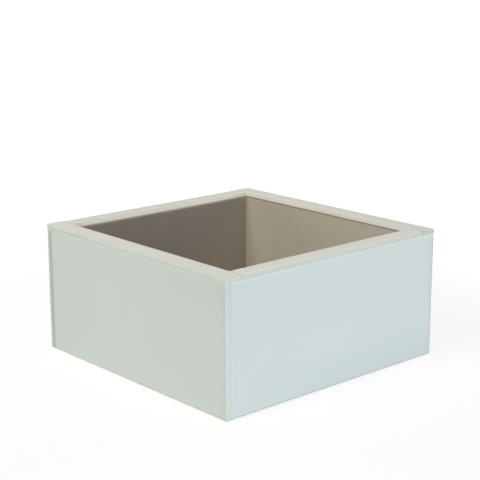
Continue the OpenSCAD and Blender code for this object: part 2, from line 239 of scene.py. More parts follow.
# Studio lamps: the point that they face, and for each its name, azimuth and elevation in degrees, distance,
# width and height in metres, level and colour
LIT_POINT = Vector((0, 0, 0.25))
LAMPS = (
    ("key", -90, 40, 16.0, 7.0, 7.0, 0.546, (1.0, 0.965, 0.80)),
    ("front_strip", 0, 2.23, 9.0, 5.0, 0.10, 0.523, (0.96, 1.0, 1.036)),
    ("right_fill", 88, 8, 9.0, 4.0, 4.0, 0.42, (1.0, 0.985, 0.90)),
    ("back_fill", 192, 8, 9.0, 4.0, 4.0, 0.38, (1.0, 0.985, 0.92)),
    ("rear", 150, 35, 9.0, 4.0, 4.0, 0.05, (1.0, 1.0, 1.0)),
)

# Even light from all round, and the white that shows instead of it
AMBIENT_LEVEL = 0.227
AMBIENT_COLOUR = (0.92, 0.877, 1.20)
WHITE = (1.0, 1.0, 1.0)

# Floor: radius in metres, corners, and tone for the light that it throws back
FLOOR_RADIUS = 40.0
FLOOR_SIDES = 64
FLOOR_TONE = (0.8, 0.8, 0.8)

# Where the floor shows, this share of it takes light and shadow. It is lit at about FLOOR_LIGHT, and with a
# glow it adds up to white. By metres from the middle, the glow is nearly off under the planter, as a painted
# shadow there, and it grows to white by itself over SHADOW_REACH.
SHADOW_SHARE = 0.22
FLOOR_LIGHT = 0.8
UNDER_PLANTER_SHADOW = (0.30, 0.36)
UNDER_PLANTER_SHADOW_GLOW = 0.04
SHADOW_REACH = (1.0, 2.6)

# Colours, linear
LACQUER = (0.62, 0.70, 0.66)
LACQUER_END = (0.495, 0.53, 0.50)
LACQUER_EDGE_HIGHLIGHT = (0.67, 0.75, 0.71)
LACQUER_RIGHT_SHADE = (0.60, 0.675, 0.62)
LACQUER_JOINT = (0.42, 0.46, 0.43)
LACQUER_LOW_SHADE = (0.51, 0.60, 0.59)
LACQUER_SHADE = (0.622, 0.67, 0.61)
FOOT_SOIL_AND_SHADE = (0.40, 0.40, 0.385)
RIM_CREAM = (0.76, 0.78, 0.70)
RIM_WARM = (0.79, 0.78, 0.66)
RIM_JOINT = (0.25, 0.25, 0.22)
RIM_SIDE_SHADE = (0.56, 0.59, 0.52)
RIM_SIDE_SHADE_LONG = (0.58, 0.63, 0.585)
RIM_INNER_LIT = (0.89, 0.87, 0.715)
RIM_INNER_LIT_LONG = (0.92, 0.92, 0.83)
RIM_INNER_LIT_PALE = (0.96, 0.985, 0.94)
TAUPE = (0.53, 0.497, 0.416)
TAUPE_DIRT_AND_SHADE = (0.37, 0.29, 0.25)
TAUPE_SHADE = (0.30, 0.285, 0.225)

# Linear colours in pairs, with a pattern between the two
PINE = ((0.64, 0.47, 0.27), (0.50, 0.31, 0.14))
BEECH = ((0.66, 0.47, 0.29), (0.58, 0.38, 0.22))
PLY_FACE = ((0.56, 0.40, 0.24), (0.44, 0.29, 0.16))
PLY_EDGE = ((0.30, 0.18, 0.09), (0.52, 0.36, 0.21))
ZINC = ((0.60, 0.61, 0.62), (0.66, 0.62, 0.50))
BLACK_AND_DUST = ((0.018, 0.018, 0.019), (0.085, 0.078, 0.068))
BLACK_AND_BLOOM = ((0.012, 0.012, 0.012), (0.05, 0.05, 0.048))


class Nodes:
    """The nodes of a material or of the world. Most methods add one step and return its output socket."""

    def __init__(self, owner):
        owner.use_nodes = True
        self.owner = owner
        self.tree = owner.node_tree
        self.tree.nodes.clear()

    def node(self, kind, **settings):
        made = self.tree.nodes.new("ShaderNode" + kind)
        for name, value in settings.items():
            setattr(made, name, value)
        return made

    def feed(self, socket, value):
        """Joins a socket to the output of another step, or sets it to a plain value."""
        if isinstance(value, bpy.types.NodeSocket):
            self.tree.links.new(value, socket)
        elif isinstance(value, tuple) and socket.type == "RGBA":
            socket.default_value = (*value, 1.0)
        else:
            socket.default_value = value

    def place(self):
        """Points of the piece in its own axes, in metres."""
        return self.node("TexCoord").outputs["Object"]

    def chance(self):
        """One number per piece, from 0 to 1."""
        return self.node("ObjectInfo").outputs["Random"]

    def attribute(self, name):
        return self.node("Attribute", attribute_name=name).outputs["Fac"]

    def math(self, operation, a, b=0.0):
        made = self.node("Math", operation=operation)
        self.feed(made.inputs[0], a)
        self.feed(made.inputs[1], b)
        return made.outputs[0]

    def times(self, value, *factors):
        """The product of all its values."""
        for factor in factors:
            value = self.math("MULTIPLY", value, factor)
        return value

    def shift(self, vector, amount):
        """Moves the points along a slanted line, so that pieces don't share one pattern."""
        made = self.node("VectorMath", operation="MULTIPLY_ADD")
        made.inputs[0].default_value = PATTERN_SHIFT
        self.feed(made.inputs[1], amount)
        self.feed(made.inputs[2], vector)
        return made.outputs[0]

    def stretch(self, vector, scale):
        made = self.node("VectorMath", operation="MULTIPLY")
        self.feed(made.inputs[0], vector)
        made.inputs[1].default_value = scale
        return made.outputs[0]

    def axis(self, vector, name):
        made = self.node("SeparateXYZ")
        self.feed(made.inputs[0], vector)
        return made.outputs[name]

    def noise(self, vector, scale, detail=3.0, roughness=0.5, distortion=0.0):
        """A noise pattern. The scale is one number, or one for each axis where the pattern is drawn out."""
        if isinstance(scale, tuple):
            vector = self.stretch(vector, scale)
            scale = 1.0
        made = self.node("TexNoise")
        self.feed(made.inputs["Vector"], vector)
        made.inputs["Scale"].default_value = scale
        made.inputs["Detail"].default_value = detail
        made.inputs["Roughness"].default_value = roughness
        made.inputs["Distortion"].default_value = distortion
        return made.outputs["Fac"]

    def cells(self, vector, scale):
        made = self.node("TexVoronoi")
        self.feed(made.inputs["Vector"], vector)
        made.inputs["Scale"].default_value = scale
        return made.outputs["Distance"]

    def levels(self, value, low, high, to_low=0.0, to_high=1.0):
        """Carries a value from low..high over to to_low..to_high, and holds it there."""
        made = self.node("MapRange")
        self.feed(made.inputs["Value"], value)
        made.inputs["From Min"].default_value = low
        made.inputs["From Max"].default_value = high
        made.inputs["To Min"].default_value = to_low
        made.inputs["To Max"].default_value = to_high
        return made.outputs["Result"]

    def near(self, distance, reach, share=1.0):
        """Gives the share up to the first distance of the reach, and 0 from the second one on."""
        return self.levels(distance, *reach, to_low=share, to_high=0.0)

    def ranged(self, pattern, low, high):
        """Carries the usual values of a noise pattern over to low..high."""
        return self.levels(pattern, *NOISE_SPAN, to_low=low, to_high=high)

    def mix(self, share, a, b):
        made = self.node("Mix", data_type="RGBA")
        self.feed(made.inputs[0], share)
        self.feed(made.inputs[6], a)
        self.feed(made.inputs[7], b)
        return made.outputs[2]

    def scaled(self, colour, factor):
        made = self.node("VectorMath", operation="SCALE")
        self.feed(made.inputs[0], colour)
        self.feed(made.inputs["Scale"], factor)
        return made.outputs[0]

    def tint(self, colour, value, spread, span=NOISE_SPAN):
        """Darkens and lightens a colour by up to spread as the value goes over its span."""
        return self.scaled(colour, self.levels(value, *span, to_low=1 - spread, to_high=1 + spread))

    def toned(self, colour, share, tone):
        """Scales a colour by the tone where the share is 1, and leaves it where the share is 0."""
        return self.scaled(colour, self.levels(share, 0.0, 1.0, to_low=1.0, to_high=tone))

    def bump(self, height, depth, under=None):
        """A relief depth metres high between heights 0 and 1."""
        made = self.node("Bump")
        made.inputs["Strength"].default_value = 1.0
        made.inputs["Distance"].default_value = depth
        self.feed(made.inputs["Height"], height)
        if under is not None:
            self.feed(made.inputs["Normal"], under)
        return made.outputs["Normal"]

    def surface(self, colour, roughness, normal, **plain):
        """Ends a material in one shader. The plain values are the same all over the surface."""
        shader = self.node("BsdfPrincipled")
        self.feed(shader.inputs["Base Color"], colour)
        self.feed(shader.inputs["Roughness"], roughness)
        self.feed(shader.inputs["Normal"], normal)
        for name, value in plain.items():
            shader.inputs[name.replace("_", " ").title()].default_value = value
        return self.end("OutputMaterial", shader.outputs[0])

    def diffuse(self, colour):
        made = self.node("BsdfDiffuse")
        self.feed(made.inputs["Color"], colour)
        return made.outputs[0]

    def background(self, colour, strength):
        made = self.node("Background")
        self.feed(made.inputs["Color"], colour)
        self.feed(made.inputs["Strength"], strength)
        return made.outputs[0]

    def choose(self, share, first, second):
        """Mixes two shaders: the first where the share is 0, the second where it is 1."""
        made = self.node("MixShader")
        self.feed(made.inputs[0], share)
        self.feed(made.inputs[1], first)
        self.feed(made.inputs[2], second)
        return made.outputs[0]

    def seen_rays(self):
        """1 for rays that show the background itself: from the camera, in gloss and through glass."""
        rays = self.node("LightPath").outputs
        seen = self.math("MAXIMUM", rays["Is Camera Ray"], rays["Is Glossy Ray"])
        return self.math("MAXIMUM", seen, rays["Is Transmission Ray"])

    def end(self, kind, shader):
        """Sends a shader to the output, and returns the material or world."""
        out = self.node(kind)
        self.feed(out.inputs["Surface"], shader)
        return self.owner


def new_finish(name):
    """The nodes of a new material."""
    return Nodes(bpy.data.materials.new(name))


def per_axis(along, lengthwise, across):
    """One number for each axis: lengthwise for the named one, across for the other two."""
    return tuple(lengthwise if name == along else across for name in "XYZ")


def wall_lacquer(half):
    """Sprayed satin lacquer: orange peel, a faint long wave, soaked board ends, foot soil, painted highlights
    and painted shade.
    """
    f = new_finish("wall_lacquer")
    board = f.place()
    at = f.shift(board, f.chance())
    along, depth, height = (f.axis(board, name) for name in "XYZ")
    from_right = f.math("SUBTRACT", half.x, along)
    from_left = f.math("ADD", along, half.x)
    from_back = f.math("SUBTRACT", half.y, depth)
    from_foot = f.math("ADD", height, half.z)
    from_top = f.math("SUBTRACT", half.z, height)

    end = f.attribute("board_end")
    edge_light_and_tip_shade = f.attribute("board_rubbed")
    off_end = f.levels(end, 0.0, OFF_END, to_low=1.0, to_high=0.0)
    # Painted shade that darkens the lacquer towards the board's right end
    right_shade = f.times(f.near(from_right, RIGHT_END_SHADE), off_end)
    # Painted shade on a narrow strip at the board's right tip
    tip_shade = f.times(f.near(from_right, TIP_SHADE_END), off_end, edge_light_and_tip_shade)
    joint = f.times(f.near(from_back, JOINT_SHADE), end)
    # Painted shade low on the board, growing towards its right end
    low_shade_along = f.levels(along, -half.x, LOW_SHADE_FULL * half.x, to_low=LOW_SHADE_LEAST, to_high=1.0)
    low_shade = f.times(f.near(from_foot, LOW_SHADE_HEIGHT), low_shade_along, f.attribute("board_grime"), LOW_SHADE_SHARE)
    # Painted shade that darkens the board's left end and its top
    at_left = f.near(from_left, LEFT_END_SHADE)
    at_top = f.near(from_top, TOP_SHADE, TOP_SHADE_SHARE)
    end_and_top_shade = f.times(f.math("MAXIMUM", at_left, at_top), f.attribute("board_fade"))
    # Painted highlight on the edge bevels and on a line just under the rim
    edge = f.times(f.math("MAXIMUM", f.attribute("board_edge"), f.near(from_top, HIGHLIGHT_LINE)), edge_light_and_tip_shade)
    # Soil and painted contact shade on the foot bevel, the underside and a band just above
    foot = f.math("MAXIMUM", f.attribute("board_foot"), f.near(from_foot, FOOT_SOIL_AND_SHADE_REACH, FOOT_SOIL_AND_SHADE_SHARE))

    colour = f.mix(right_shade, LACQUER, LACQUER_RIGHT_SHADE)
    colour = f.mix(low_shade, colour, LACQUER_LOW_SHADE)
    colour = f.toned(colour, tip_shade, TIP_SHADE_TONE)
    colour = f.toned(colour, end_and_top_shade, SHADED_TONE)
    colour = f.mix(end, colour, LACQUER_END)
    colour = f.mix(joint, colour, LACQUER_JOINT)
    colour = f.mix(edge, colour, LACQUER_EDGE_HIGHLIGHT)
    colour = f.mix(f.near(from_top, RIM_SHADE), colour, LACQUER_SHADE)
    colour = f.mix(foot, colour, FOOT_SOIL_AND_SHADE)
    # Painted light at the foot, fading to painted shade at the top
    colour = f.scaled(colour, f.levels(height, -half.z, half.z, to_low=FOOT_PAINTED_LIGHT, to_high=TOP_PAINTED_SHADE))
    clouds = f.noise(at, scale=2.2, detail=2.0)
    specks = f.noise(at, scale=900.0, detail=1.0)
    colour = f.tint(colour, clouds, spread=0.012)
    colour = f.tint(colour, specks, spread=0.010, span=SPECK_SPAN)
    roughness = f.ranged(f.noise(at, scale=14.0, detail=4.0), 0.36, 0.44)
    wave = f.bump(f.noise(at, scale=5.0, detail=1.0), depth=0.0006)
    peel = f.bump(f.noise(at, scale=420.0, detail=2.0), depth=0.000045, under=wave)
    return f.surface(colour, roughness, peel, coat_weight=0.15, coat_roughness=0.2)


def rim_paint(name, side, inner, inner_lit_end, joint_start):
    """Brushed cream paint: the wood's grain and the brush run along the board and show through it, with
    painted light and shade.
    """
    f = new_finish(name)
    board = f.place()
    at = f.shift(board, f.chance())
    along = f.axis(board, "X")
    inside = f.attribute("board_inside")
    beyond = f.levels(f.math("ABSOLUTE", along), joint_start, joint_start + JOINT_BLEND)
    joint = f.math("MAXIMUM", f.attribute("board_joint"), f.times(beyond, inside))
    pale = f.levels(along, *PALE_STRETCH, to_low=1.0, to_high=0.0)
    # Painted light that grows along the board towards its right end
    light_along = f.times(f.levels(along, *PAINTED_LIGHT_STRETCH, *PAINTED_LIGHT_CHANGE), f.attribute("board_bleach"))

    warmth = f.noise(at, scale=(5.0, 70.0, 70.0), detail=3.0)
    colour = f.mix(f.levels(warmth, *WARM_SPAN), RIM_CREAM, RIM_WARM)
    # Painted shade on the outer side and the cut ends of the board
    colour = f.mix(f.attribute("board_side"), colour, side)
    colour = f.mix(f.attribute("board_cut"), colour, RIM_SIDE_SHADE)
    # Painted light on the inner side of the board, paler towards the left end of a long board
    colour = f.mix(inside, colour, f.mix(pale, inner, inner_lit_end))
    colour = f.mix(joint, colour, RIM_JOINT)
    # Painted light and shade, as a tone for each board and its right end
    colour = f.scaled(colour, f.attribute("board_tone"))
    colour = f.scaled(colour, f.math("ADD", light_along, 1.0))
    grain = f.noise(at, scale=(6.0, 130.0, 130.0), detail=5.0, roughness=0.6, distortion=0.4)
    brush = f.noise(at, scale=(9.0, 900.0, 900.0), detail=2.0)
    clouds = f.noise(at, scale=4.0, detail=2.0)
    colour = f.tint(colour, grain, spread=0.045)
    colour = f.tint(colour, clouds, spread=0.015)
    relief = f.bump(grain, depth=0.00012)
    relief = f.bump(brush, depth=0.00005, under=relief)
    roughness = f.ranged(brush, 0.40, 0.52)
    return f.surface(colour, roughness, relief, coat_weight=0.08, coat_roughness=0.3)


def tub_plastic():
    """Moulded taupe plastic: a fine leather grain, faint draw marks, earth and painted shade low down,
    painted shade under the rim and painted light by the back corner.
    """
    f = new_finish("tub_plastic")
    at = f.place()
    height = f.axis(at, "Z")
    patches = f.noise(at, scale=9.0, detail=6.0, roughness=0.65)
    # Earth in patches and painted shade, darker towards the tub's floor
    low = f.levels(height, *DIRT_AND_SHADE_HEIGHTS, to_low=1.0, to_high=0.0)
    dirt_and_shade = f.times(low, f.levels(patches, *DIRT_SPAN, *DIRT_AND_SHADE_SHARES))
    at_side = f.levels(f.math("ABSOLUTE", f.axis(at, "X")), *SIDE_WALLS)
    under_rim = f.times(at_side, f.levels(height, *SHADE_HEIGHTS, to_low=0.0, to_high=SHADE_SHARE))
    # Painted light on the side walls by the back corner
    lit_by_corner = f.times(at_side, f.levels(f.axis(at, "Y"), *LIT_CORNER_STRETCH))

    colour = f.mix(dirt_and_shade, TAUPE, TAUPE_DIRT_AND_SHADE)
    colour = f.toned(colour, lit_by_corner, CORNER_LIGHT_TONE)
    colour = f.mix(under_rim, colour, TAUPE_SHADE)
    clouds = f.noise(at, scale=3.0, detail=3.0)
    streaks = f.noise(at, scale=(60.0, 60.0, 2.0), detail=3.0)
    colour = f.tint(colour, clouds, spread=0.03)
    colour = f.tint(colour, streaks, spread=0.02)
    grain = f.bump(f.cells(at, scale=700.0), depth=0.00006)
    wave = f.bump(streaks, depth=0.0001, under=grain)
    roughness = f.ranged(patches, 0.50, 0.64)
    return f.surface(colour, roughness, wave)


def timber(name, along, light, dark, ring_gap):
    """Planed wood with year rings and fibres that run along one axis of the piece."""
    f = new_finish(name)
    at = f.shift(f.place(), f.chance())
    made = f.node("TexWave", wave_type="RINGS", rings_direction=along, wave_profile="SAW")
    f.feed(made.inputs["Vector"], f.stretch(at, per_axis(along, RINGS_ALONG, 1.0)))
    made.inputs["Scale"].default_value = math.tau / (WAVE_RADIANS * ring_gap)
    made.inputs["Distortion"].default_value = 2.5
    made.inputs["Detail"].default_value = 2.0
    made.inputs["Detail Scale"].default_value = 6.0
    rings = made.outputs["Fac"]
    fibres = f.noise(at, scale=per_axis(along, *FIBRES), detail=3.0)
    colour = f.mix(f.levels(rings, *RING_SPAN), light, dark)
    colour = f.tint(colour, fibres, spread=0.07, span=FIBRE_SPAN)
    colour = f.tint(colour, f.chance(), spread=0.05, span=(0.0, 1.0))
    relief = f.bump(fibres, depth=0.00008)
    relief = f.bump(rings, depth=0.00005, under=relief)
    roughness = f.ranged(fibres, 0.55, 0.70)
    return f.surface(colour, roughness, relief)


def plywood():
    """Sanded plywood: a calm face grain, and dark and light plies in turn along the edges."""
    f = new_finish("plywood")
    at = f.place()
    face = f.noise(at, scale=(5.0, 90.0, 90.0), detail=4.0, distortion=0.8)
    plies = f.math("SINE", f.times(f.axis(at, "Z"), math.tau / PLY_PAIR))
    level = f.math("ABSOLUTE", f.axis(f.node("NewGeometry").outputs["Normal"], "Z"))
    on_edge = f.levels(level, *EDGE_SPAN, to_low=1.0, to_high=0.0)
    plain = f.mix(f.ranged(face, 0.0, 1.0), *PLY_FACE)
    striped = f.mix(f.levels(plies, *PLY_BLEND), *PLY_EDGE)
    colour = f.mix(on_edge, plain, striped)
    relief = f.bump(f.noise(at, scale=(9.0, 400.0, 400.0), detail=2.0), depth=0.00008)
    roughness = f.ranged(face, 0.58, 0.72)
    return f.surface(colour, roughness, relief)


def zinc_steel():
    """Zinc plating with the faint clouds of its passivation."""
    f = new_finish("zinc_steel")
    at = f.place()
    clouds = f.noise(at, scale=160.0, detail=4.0)
    colour = f.mix(f.levels(clouds, *ZINC_SPAN), *ZINC)
    relief = f.bump(f.noise(at, scale=2500.0, detail=2.0), depth=0.00001)
    roughness = f.ranged(clouds, 0.28, 0.42)
    return f.surface(colour, roughness, relief, metallic=1.0)


def black_plastic():
    """Moulded black plastic with a spark-eroded grain and a little dust."""
    f = new_finish("black_plastic")
    at = f.place()
    dust = f.noise(at, scale=60.0, detail=6.0, roughness=0.7)
    colour = f.mix(f.levels(dust, *DUST_SPAN, to_high=DUST_SHARE), *BLACK_AND_DUST)
    relief = f.bump(f.cells(at, scale=1600.0), depth=0.00004)
    roughness = f.ranged(dust, 0.38, 0.55)
    return f.surface(colour, roughness, relief)


def black_rubber():
    """Dull rubber with a bloom on it."""
    f = new_finish("black_rubber")
    bloom = f.noise(f.place(), scale=120.0, detail=5.0, roughness=0.6)
    colour = f.mix(f.levels(bloom, *BLOOM_SPAN, to_high=BLOOM_SHARE), *BLACK_AND_BLOOM)
    relief = f.bump(bloom, depth=0.00005)
    roughness = f.ranged(bloom, 0.66, 0.82)
    return f.surface(colour, roughness, relief)


def side_turn(k):
    """Turns the axes of side k, x to the right seen from outside and y inwards, into the planter's."""
    return Matrix.Rotation(k * math.pi / 2, 4, "Z")


def side_box(node, k):
    """Size and middle of a node's box in the axes of side k."""
    back = side_turn(k).inverted()
    a, b = (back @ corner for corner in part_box(node))
    size = Vector(abs(b[i] - a[i]) for i in range(3))
    return size, (a + b) / 2


def shade(mesh):
    """Smooth shading, with the sharp edges left crisp."""
    mesh.shade_smooth()
    mesh.set_sharp_from_angle(angle=SHARP_ANGLE)
    return mesh


def mesh_from(bm, name):
    bmesh.ops.remove_doubles(bm, verts=bm.verts, dist=SAME)
    bmesh.ops.recalc_face_normals(bm, faces=bm.faces)
    mesh = bpy.data.meshes.new(name)
    bm.to_mesh(mesh)
    bm.free()
    return shade(mesh)


def add_object(name, data):
    made = bpy.data.objects.new(name, data)
    bpy.context.scene.collection.objects.link(made)
    return made


def add_piece(name, mesh, matrix, material, nodes, body="planter"):
    """Sets a finished mesh in its place, where it stands for CAD nodes and moves with their body."""
    mesh.materials.append(material)
    piece = add_object(name, mesh)
    piece.matrix_world = matrix
    shading = piece.modifiers.new("even_shading", "WEIGHTED_NORMAL")
    shading.keep_sharp = True
    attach(piece, body)
    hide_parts(*nodes)


def bevel(bm, edges, width, steps):
    bmesh.ops.bevel(bm, geom=edges, offset=width, segments=steps, profile=0.5, affect="EDGES")


def soften(bm):
    """Rounds every sharp edge a little."""
    sharp = [e for e in bm.edges if len(e.link_faces) == 2 and e.calc_face_angle() > ROUNDED_ANGLE]
    bevel(bm, sharp, SOFTENING, SOFT_STEPS)


def draw_out(bm, face, vector):
    """Extrudes a face along a vector, with the face itself left as the near end."""
    drawn = bmesh.ops.extrude_face_region(bm, geom=[face])
    moved = [v for v in drawn["geom"] if isinstance(v, bmesh.types.BMVert)]
    bmesh.ops.translate(bm, verts=moved, vec=vector)


def mark_faces(mesh, name, share):
    """Stores a share for each face, worked out from its normal, which the face's material reads by name."""
    marks = mesh.attributes.new(name, "FLOAT", "FACE")
    for face in mesh.polygons:
        marks.data[face.index].value = share(face.normal)


def from_least(least, share):
    """Lifts a share, so that it runs from least to 1 instead of from 0 to 1."""
    return least + (1 - least) * share


def wall_mesh(size, name, side):
    """A board bevelled along its outer edges and round its right end, which shows beside the next board."""
    half = size / 2
    bm = bmesh.new()
    rings = []
    for z, inset in ((-half.z, 0.0), (half.z - TOP_BEVEL_HEIGHT, 0.0), (half.z, TOP_BEVEL_DEPTH)):
        right, face = half.x - inset, inset - half.y
        corners = ((-half.x, face), (right, face), (right, half.y), (-half.x, half.y))
        rings.append([bm.verts.new((x, y, z)) for x, y in corners])
    bm.faces.new(rings[0])
    bm.faces.new(rings[-1])
    for below, above in zip(rings, rings[1:]):
        for i in range(4):
            j = (i + 1) % 4
            bm.faces.new((below[i], below[j], above[j], above[i]))
    foot = rings[0]
    pairs = [(foot[0], foot[1]), (foot[1], foot[2])]
    pairs += [(below[i], above[i]) for below, above in zip(rings, rings[1:]) for i in (0, 1)]
    bevel(bm, [bm.edges.get(pair) for pair in pairs], WALL_BEVEL, 1)
    soften(bm)
    mesh = mesh_from(bm, name)

    def at_end(n):
        return n.x > TILTED

    def on_edge(n):
        """1 on the bevels, apart from those round a bare end: where the lacquer gets its painted edge
        highlight.
        """
        bare = END_SHARES[side] > BARE and at_end(n)
        return 0.0 if bare or max(map(abs, n)) > FLAT else 1.0

    # Face shares for the lacquer, among them where it paints highlights on the edges and shade at the foot
    mark_faces(mesh, "board_end", lambda n: END_SHARES[side] if at_end(n) else 0.0)
    mark_faces(mesh, "board_grime", lambda n: LOW_SHADE[side])
    mark_faces(mesh, "board_fade", lambda n: END_AND_TOP_SHADE[side])
    mark_faces(mesh, "board_rubbed", lambda n: EDGE_LIGHT_AND_TIP_SHADE[side])
    mark_faces(mesh, "board_foot", lambda n: 1.0 if n.z < -TILTED else 0.0)
    mark_faces(mesh, "board_edge", on_edge)
    return mesh


def rim_section(width, thickness):
    """Section of a rim board, y inwards and z up from its lower outer corner."""
    nose = [
        (RIM_NOSE * (1 - math.cos(a)), thickness - RIM_NOSE * (1 - math.sin(a)))
        for a in (i * math.pi / 2 / NOSE_STEPS for i in range(NOSE_STEPS + 1))
    ]
    arris = [(width - RIM_ARRIS, thickness), (width, thickness - RIM_ARRIS)]
    return [(0.0, 0.0), *nose, *arris, (width, 0.0)]


def rim_mesh(size, name, side):
    """A rim board: its section drawn along x, with its edges eased. The butted boards have deeper joints."""
    butted = side in BUTTED
    half = size / 2
    bm = bmesh.new()
    ring = [bm.verts.new((-half.x, y - half.y, z - half.z)) for y, z in rim_section(size.y, size.z)]
    draw_out(bm, bm.faces.new(ring), (size.x, 0, 0))

    def at_end(edge):
        """Tells the edges round both ends from the long ones, whose two points lie at different ends."""
        return all(abs(v.co.x) > half.x - SAME for v in edge.verts) and edge.calc_length() < half.x

    if butted:
        bevel(bm, [e for e in bm.edges if at_end(e)], JOINT_EASE, JOINT_STEPS)
    soften(bm)
    mesh = mesh_from(bm, name)

    def joint(n):
        """Both ends of a butted board, darkest on top."""
        return from_least(JOINT_LEAST, max(0.0, n.z)) if butted and abs(n.x) > TILTED else 0.0

    def light_along(n):
        """The board's share of painted light along it, most on the outer side and none on the ends."""
        return PAINTED_LIGHT_ALONG[side] * from_least(PAINTED_LIGHT_LEAST, max(0.0, -n.y)) * (1 - abs(n.x))

    # Face shares for the paint: painted shade outside and on the ends, painted light inside and per board
    falloff = 2 if butted else 1
    mark_faces(mesh, "board_side", lambda n: max(0.0, -n.y) ** falloff)
    mark_faces(mesh, "board_cut", lambda n: abs(n.x))
    mark_faces(mesh, "board_inside", lambda n: max(0.0, n.y))
    mark_faces(mesh, "board_joint", joint)
    mark_faces(mesh, "board_tone", lambda n: CUT_LIGHT_TONES[side] if n.x > FLAT else RIM_LIGHT_TONES[side])
    mark_faces(mesh, "board_bleach", light_along)
    return mesh


def square_ring(half_x, half_y, corner, z):
    """Points round a rectangle with rounded corners, always the same number in the same order."""
    points = []
    inner = Vector((half_x - corner, half_y - corner))
    for k in range(4):
        turn = Matrix.Rotation(k * math.pi / 2, 2)
        reach, span = (inner.x, inner.y) if k % 2 == 0 else (inner.y, inner.x)
        for i in range(CORNER_COLUMNS + 1):
            a = i * math.pi / 2 / CORNER_COLUMNS
            points.append(turn @ Vector((reach + corner * math.cos(a), span + corner * math.sin(a))))
        for i in range(1, SIDE_COLUMNS):
            points.append(turn @ Vector((reach * (1 - 2 * i / SIDE_COLUMNS), span + corner)))
    return [Vector((p.x, p.y, z)) for p in points]


def round_ring(radius, z, like):
    """A circle with one point in the direction of each point of another ring."""
    return [Vector((p.x, p.y, 0)).normalized() * radius + Vector((0, 0, z)) for p in like]


def loft(rings):
    """A closed skin through rings of equally many points, from the last ring back to the first."""
    bm = bmesh.new()
    rows = [[bm.verts.new(p) for p in ring] for ring in rings]
    for here, there in zip(rows, rows[1:] + rows[:1]):
        for i in range(len(here)):
            j = (i + 1) % len(here)
            bm.faces.new((here[i], here[j], there[j], there[i]))
    return bm


def tub_mesh(name):
    """The tub, drawn from its drain hole over the floor, up the walls, round the flange and back below."""
    low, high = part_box("tub")
    bay = Vector((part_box("top_rail_right")[0].x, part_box("top_rail_back")[0].y))
    outer = bay - Vector((TUB_SIDE_GAP, TUB_GAP))
    inner = outer - Vector((TUB_WALL, TUB_WALL))
    floor = low.z + TUB_WALL
    like = square_ring(inner.x, inner.y, TUB_CORNER, 0)
    raised = floor + SUMP_DEPTH
    rings = [
        round_ring(radius, z, like)
        for radius, z in (
            (DRAIN_HOLE, low.z),
            (DRAIN_HOLE, floor),
            (SUMP_RADIUS, floor),
            (SUMP_RADIUS + SUMP_SLOPE, raised),
            (SUMP_RADIUS + 2 * SUMP_SLOPE, raised),
        )
    ]
    for step in range(FILLET_STEPS + 1):
        a = step * math.pi / 2 / FILLET_STEPS
        inset = TUB_FILLET * (1 - math.sin(a))
        rise = TUB_FILLET * (1 - math.cos(a))
        rings.append(square_ring(inner.x - inset, inner.y - inset, TUB_CORNER, raised + rise))
    rings += [
        square_ring(inner.x, inner.y, TUB_CORNER, high.z - TUB_LIP),
        square_ring(inner.x + TUB_LIP, inner.y + TUB_LIP, TUB_CORNER + TUB_LIP, high.z),
        square_ring(high.x, high.y, TUB_CORNER, high.z),
        square_ring(high.x, high.y, TUB_CORNER, high.z - TUB_WALL),
        square_ring(outer.x, outer.y, TUB_CORNER + TUB_WALL, high.z - TUB_WALL),
        square_ring(outer.x, outer.y, TUB_CORNER + TUB_WALL, low.z + TUB_FILLET),
        square_ring(outer.x - TUB_FILLET, outer.y - TUB_FILLET, TUB_CORNER, low.z),
    ]
    return mesh_from(loft(rings), name)


def eased(profile):
    """A closed profile of (radius, height) points with its corners rounded, apart from those on the axis."""
    points = [Vector(p) for p in profile]
    rounded = []
    for i, here in enumerate(points):
        before = points[i - 1] - here
        after = points[(i + 1) % len(points)] - here
        if here.x == 0:
            rounded.append(here)
            continue
        cut = min(EASE, EASE_LIMIT * before.length, EASE_LIMIT * after.length)
        start = here + before.normalized() * cut
        end = here + after.normalized() * cut
        for step in range(EASE_STEPS + 1):
            t = step / EASE_STEPS
            rounded.append(start * (1 - t) ** 2 + here * 2 * t * (1 - t) + end * t ** 2)
    return rounded


def turned_mesh(profile, name):
    """A closed profile of (radius, height) points turned round the Z axis."""
    bm = bmesh.new()
    corners = [bm.verts.new((x, 0, z)) for x, z in profile]
    around = zip(corners, corners[1:] + corners[:1])
    edges = [bm.edges.new(pair) for pair in around if pair[0].co.x > 0 or pair[1].co.x > 0]
    bmesh.ops.spin(
        bm, geom=corners + edges, cent=(0, 0, 0), axis=(0, 0, 1),
        angle=math.tau, steps=TURNS, use_merge=True,
    )
    return mesh_from(bm, name)


def drain_profile():
    """The drain's flange and tube, with rings of thread on the tube's outside below the base board."""
    low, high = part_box("drain_body")
    under_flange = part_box("drain_gasket")[1].z
    thread_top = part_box("base_board")[0].z
    pitches = int((thread_top - low.z) / THREAD_PITCH)
    thread = []
    for i in range(pitches):
        z = thread_top - i * THREAD_PITCH
        thread += [(TUBE_RADIUS, z), (TUBE_RADIUS - THREAD_DEPTH, z - THREAD_PITCH / 2)]
    return [
        (BORE_RADIUS, low.z),
        (BORE_RADIUS, high.z),
        (high.x, high.z),
        (high.x, under_flange),
        (TUBE_RADIUS, under_flange),
        *thread,
        (TUBE_RADIUS, low.z),
    ]


